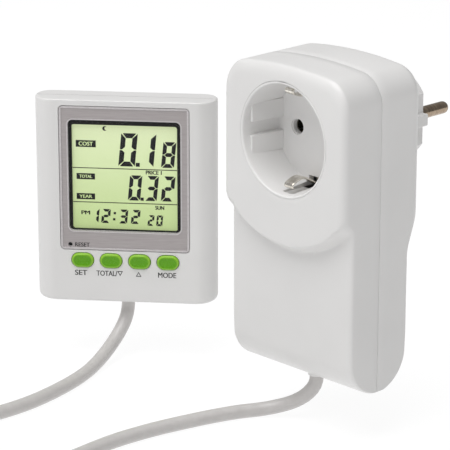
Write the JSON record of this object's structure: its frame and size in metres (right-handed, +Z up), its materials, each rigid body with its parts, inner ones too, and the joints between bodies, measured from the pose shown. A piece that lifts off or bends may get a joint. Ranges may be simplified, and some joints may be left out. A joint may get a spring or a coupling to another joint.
{
  "type": "plug in power meter",
  "caption": "Pass-through mains plug unit with a round socket on the front and pins on the back, joined by a cord to an upright display unit with a segment readout and press keys.",
  "frame": {"origin": "middle of the plug's flat contact face, between its two pins, where it meets the wall socket", "axes": "+X to the right seen from the socket, +Y into the wall along the plug pins, +Z up; the display unit stands left of and in front of the plug unit, turned 40 degrees about +Z"},
  "size_m": [0.1682, 0.2627, 0.1437],
  "materials": {
    "white_abs": "satin white moulded ABS",
    "grey_panel": "grey panel with a faint brushed satin print",
    "green_button": "translucent lime green button plastic",
    "clear_window": "clear acrylic",
    "lcd_glass": "pale green liquid crystal glass",
    "black_plastic": "black moulded plastic",
    "blue_epoxy": "blue dipped epoxy",
    "yellow_film": "yellow moulded film capacitor case",
    "circuit_board": "green solder mask on glass fibre board",
    "nickel_brass": "nickel plated brass",
    "tinned_copper": "tinned copper strip",
    "zinc_steel": "zinc plated or stainless steel",
    "grey_rubber": "grey rubber",
    "grey_pvc": "light grey PVC cord sheath"
  },
  "bodies": {
    "meter": {"backup_cell": "zinc_steel", "bezel_panel": "grey_panel", "case_screw_1": "zinc_steel", "case_screw_2": "zinc_steel", "case_screw_3": "zinc_steel", "case_screw_4": "zinc_steel", "cell_holder": "black_plastic", "coil_tie": "black_plastic", "controller_chip": "black_plastic", "cord_clamp": "white_abs", "cord_coil": "grey_pvc", "cord_gland": "grey_rubber", "current_shunt": "tinned_copper", "display_board": "circuit_board", "display_cord": "grey_pvc", "display_cord_clamp": "white_abs", "display_front_case": "white_abs", "display_rear_case": "white_abs", "dropper_capacitor": "yellow_film", "earth_link": "nickel_brass", "front_shell": "white_abs", "fuse": "black_plastic", "housing_screw_1": "zinc_steel", "housing_screw_2": "zinc_steel", "housing_screw_3": "zinc_steel", "housing_screw_4": "zinc_steel", "lcd_gasket": "black_plastic", "lcd_glass": "lcd_glass", "lcd_window": "clear_window", "live_in_strip": "tinned_copper", "live_out_strip": "tinned_copper", "live_pin": "nickel_brass", "live_sleeve": "nickel_brass", "main_board": "circuit_board", "metering_chip": "black_plastic", "neutral_pin": "nickel_brass", "neutral_sleeve": "nickel_brass", "neutral_strip": "tinned_copper", "plug_base": "white_abs", "plug_cord": "grey_pvc", "plug_earth_strip": "nickel_brass", "rear_shell": "white_abs", "smoothing_capacitor": "black_plastic", "socket_earth_strap": "nickel_brass", "socket_well": "white_abs", "stand_pin": "zinc_steel", "switch_mode": "zinc_steel", "switch_reset": "zinc_steel", "switch_set": "zinc_steel", "switch_total": "zinc_steel", "switch_up": "zinc_steel", "varistor": "blue_epoxy", "zebra_strip": "grey_rubber"},
    "set_key": {"set_button": "green_button"},
    "total_key": {"total_button": "green_button"},
    "up_key": {"up_button": "green_button"},
    "mode_key": {"mode_button": "green_button"},
    "reset_key": {"reset_plunger": "black_plastic"},
    "battery_hatch": {"battery_door": "white_abs"},
    "rear_stand": {"fold_out_stand": "white_abs"}
  },
  "joints": [
    {"name": "set_press", "type": "slide", "parent": "meter", "child": "set_key", "axis": [-0.6428, 0.766, 0], "range_m": [0, 0.0006], "stiffness_N_per_m": 500, "springref_m": -0.001},
    {"name": "total_press", "type": "slide", "parent": "meter", "child": "total_key", "axis": [-0.6428, 0.766, 0], "range_m": [0, 0.0006], "stiffness_N_per_m": 500, "springref_m": -0.001},
    {"name": "up_press", "type": "slide", "parent": "meter", "child": "up_key", "axis": [-0.6428, 0.766, 0], "range_m": [0, 0.0006], "stiffness_N_per_m": 500, "springref_m": -0.001},
    {"name": "mode_press", "type": "slide", "parent": "meter", "child": "mode_key", "axis": [-0.6428, 0.766, 0], "range_m": [0, 0.0006], "stiffness_N_per_m": 500, "springref_m": -0.001},
    {"name": "reset_press", "type": "slide", "parent": "meter", "child": "reset_key", "axis": [-0.6428, 0.766, 0], "range_m": [0, 0.0005], "stiffness_N_per_m": 200, "springref_m": -0.001},
    {"name": "battery_hatch_slide", "type": "slide", "parent": "meter", "child": "battery_hatch", "axis": [0, 0, -1], "range_m": [0, 0.01]},
    {"name": "rear_stand_swing", "type": "hinge", "parent": "meter", "child": "rear_stand", "pos_m": [-0.11018, -0.03766, -0.0226], "axis": [0.766, 0.6428, 0], "range_deg": [0, 55]}
  ]
}
